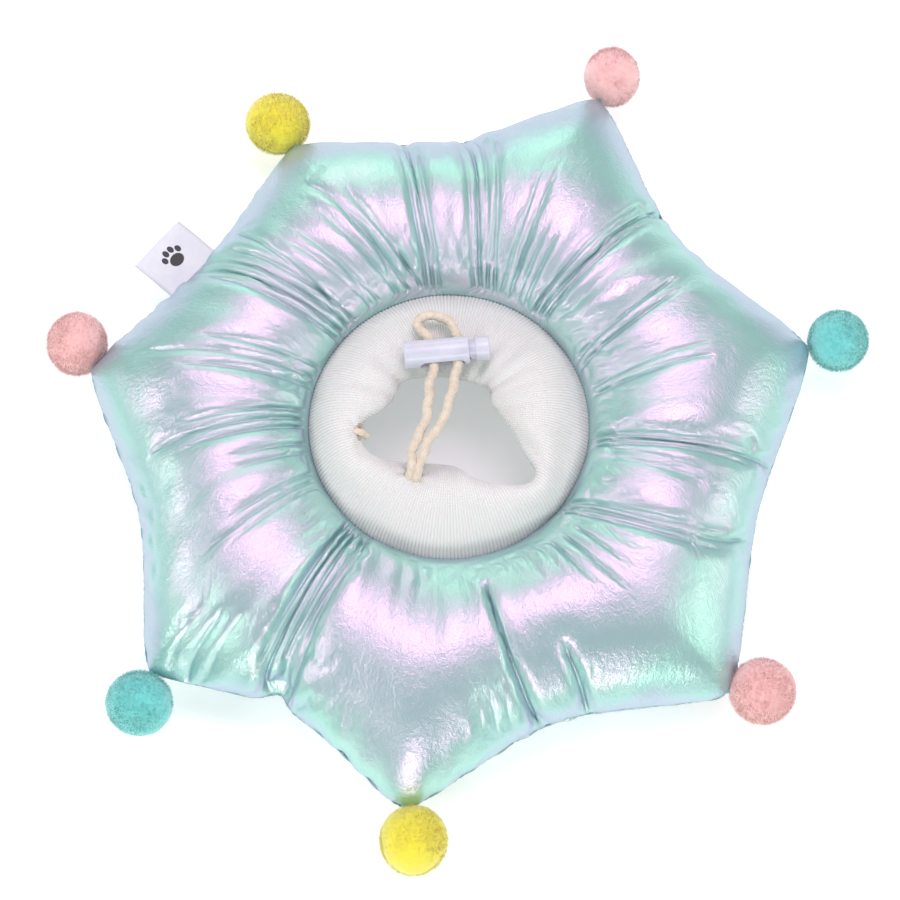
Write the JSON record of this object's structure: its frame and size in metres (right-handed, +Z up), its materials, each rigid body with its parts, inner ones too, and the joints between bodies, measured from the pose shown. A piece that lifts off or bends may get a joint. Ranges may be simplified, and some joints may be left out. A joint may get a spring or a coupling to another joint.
{
  "type": "elizabethan collar",
  "caption": "Soft padded star-shaped recovery collar with a drawn rib-knit neck cuff, drawcord with spring lock, side label and a pom-pom at each point.",
  "frame": {"origin": "on the neck axis, in the plane of the rim seam that joins the two covers", "axes": "+Z up out of the face that the knit cuff opens to; +Y towards the highest point of the star in the picture; +X to its right"},
  "size_m": [0.3168, 0.33, 0.0532],
  "materials": {
    "foil_fabric": "satin",
    "fibre_fill": "matte",
    "seam_thread": "matte",
    "knit": "matte",
    "knit_thread": "matte",
    "cord": "matte",
    "lock_plastic": "satin",
    "spring_wire": "satin",
    "label_ribbon": "satin",
    "pompom_teal": "matte",
    "pompom_pink": "matte",
    "pompom_yellow": "matte"
  },
  "bodies": {
    "collar": {"front_cover": "foil_fabric", "back_cover": "foil_fabric", "fibre_fill": "fibre_fill", "rim_seam_thread": "seam_thread", "neck_seam_thread": "seam_thread", "knit_cuff": "knit", "channel_seam_thread": "knit_thread", "hem_cord": "cord"},
    "drawcord": {"cord_tail": "cord"},
    "cord_lock": {"lock_barrel": "lock_plastic", "lock_spring": "spring_wire"},
    "lock_button": {"lock_plunger": "lock_plastic"},
    "label": {"side_label": "label_ribbon"},
    "tie_right": {"pompom_tie_right": "seam_thread"},
    "pompom_right": {"pompom_right": "pompom_teal"},
    "tie_top": {"pompom_tie_top": "seam_thread"},
    "pompom_top": {"pompom_top": "pompom_pink"},
    "tie_upper_left": {"pompom_tie_upper_left": "seam_thread"},
    "pompom_upper_left": {"pompom_upper_left": "pompom_yellow"},
    "tie_left": {"pompom_tie_left": "seam_thread"},
    "pompom_left": {"pompom_left": "pompom_pink"},
    "tie_lower_left": {"pompom_tie_lower_left": "seam_thread"},
    "pompom_lower_left": {"pompom_lower_left": "pompom_teal"},
    "tie_bottom": {"pompom_tie_bottom": "seam_thread"},
    "pompom_bottom": {"pompom_bottom": "pompom_yellow"},
    "tie_lower_right": {"pompom_tie_lower_right": "seam_thread"},
    "pompom_lower_right": {"pompom_lower_right": "pompom_pink"}
  },
  "joints": [
    {"name": "cord_lift", "type": "hinge", "parent": "collar", "child": "drawcord", "pos_m": [-0.0132, -0.0244, 0.0227], "axis": [0.9744, -0.225, 0], "range_deg": [0, 100]},
    {"name": "label_flap", "type": "hinge", "parent": "collar", "child": "label", "pos_m": [-0.10004, 0.06522, 0], "axis": [0.6561, 0.7547, 0], "range_deg": [-60, 80]},
    {"name": "lock_slide", "type": "slide", "parent": "drawcord", "child": "cord_lock", "axis": [0.2241, 0.9707, 0.0872], "range_m": [-0.03, 0.002]},
    {"name": "plunger_press", "type": "slide", "parent": "cord_lock", "child": "lock_button", "axis": [-0.9959, -0.086, -0.0269], "range_m": [0, 0.002], "stiffness_N_per_m": 40, "springref_m": -0.01, "deforming": ["lock_spring"]},
    {"name": "pompom_right_sway", "type": "hinge", "parent": "collar", "child": "tie_right", "pos_m": [0.13699, 0.03339, 0], "axis": [0, 0, 1], "range_deg": [-45, 45]},
    {"name": "pompom_right_nod", "type": "hinge", "parent": "tie_right", "child": "pompom_right", "pos_m": [0.13699, 0.03339, 0], "axis": [0.2368, -0.9715, 0], "range_deg": [-30, 30]},
    {"name": "pompom_top_sway", "type": "hinge", "parent": "collar", "child": "tie_top", "pos_m": [0.05884, 0.13863, 0], "axis": [0, 0, 1], "range_deg": [-39, 51]},
    {"name": "pompom_top_nod", "type": "hinge", "parent": "tie_top", "child": "pompom_top", "pos_m": [0.05884, 0.13863, 0], "axis": [0.8746, -0.4848, 0], "range_deg": [-30, 30]},
    {"name": "pompom_upper_left_sway", "type": "hinge", "parent": "collar", "child": "tie_upper_left", "pos_m": [-0.06038, 0.1185, 0], "axis": [0, 0, 1], "range_deg": [-53, 37]},
    {"name": "pompom_upper_left_nod", "type": "hinge", "parent": "tie_upper_left", "child": "pompom_upper_left", "pos_m": [-0.06038, 0.1185, 0], "axis": [0.8192, 0.5736, 0], "range_deg": [-30, 30]},
    {"name": "pompom_left_sway", "type": "hinge", "parent": "collar", "child": "tie_left", "pos_m": [-0.1359, 0.02396, 0], "axis": [0, 0, 1], "range_deg": [-2, 91]},
    {"name": "pompom_left_nod", "type": "hinge", "parent": "tie_left", "child": "pompom_left", "pos_m": [-0.1359, 0.02396, 0], "axis": [0.829, 0.5592, 0], "range_deg": [-30, 30]},
    {"name": "pompom_lower_left_sway", "type": "hinge", "parent": "collar", "child": "tie_lower_left", "pos_m": [-0.10897, -0.09307, 0], "axis": [0, 0, 1], "range_deg": [-75, 15]},
    {"name": "pompom_lower_left_nod", "type": "hinge", "parent": "tie_lower_left", "child": "pompom_lower_left", "pos_m": [-0.10897, -0.09307, 0], "axis": [-0.9426, 0.3338, 0], "range_deg": [-30, 30]},
    {"name": "pompom_bottom_sway", "type": "hinge", "parent": "collar", "child": "tie_bottom", "pos_m": [-0.01634, -0.14337, 0], "axis": [0, 0, 1], "range_deg": [-67, 23]},
    {"name": "pompom_bottom_nod", "type": "hinge", "parent": "tie_bottom", "child": "pompom_bottom", "pos_m": [-0.01634, -0.14337, 0], "axis": [-0.9636, -0.2672, 0], "range_deg": [-30, 30]},
    {"name": "pompom_lower_right_sway", "type": "hinge", "parent": "collar", "child": "tie_lower_right", "pos_m": [0.10147, -0.10147, 0], "axis": [0, 0, 1], "range_deg": [-89, 2]},
    {"name": "pompom_lower_right_nod", "type": "hinge", "parent": "tie_lower_right", "child": "pompom_lower_right", "pos_m": [0.10147, -0.10147, 0], "axis": [-0.0175, -0.9998, 0], "range_deg": [-30, 30]}
  ]
}
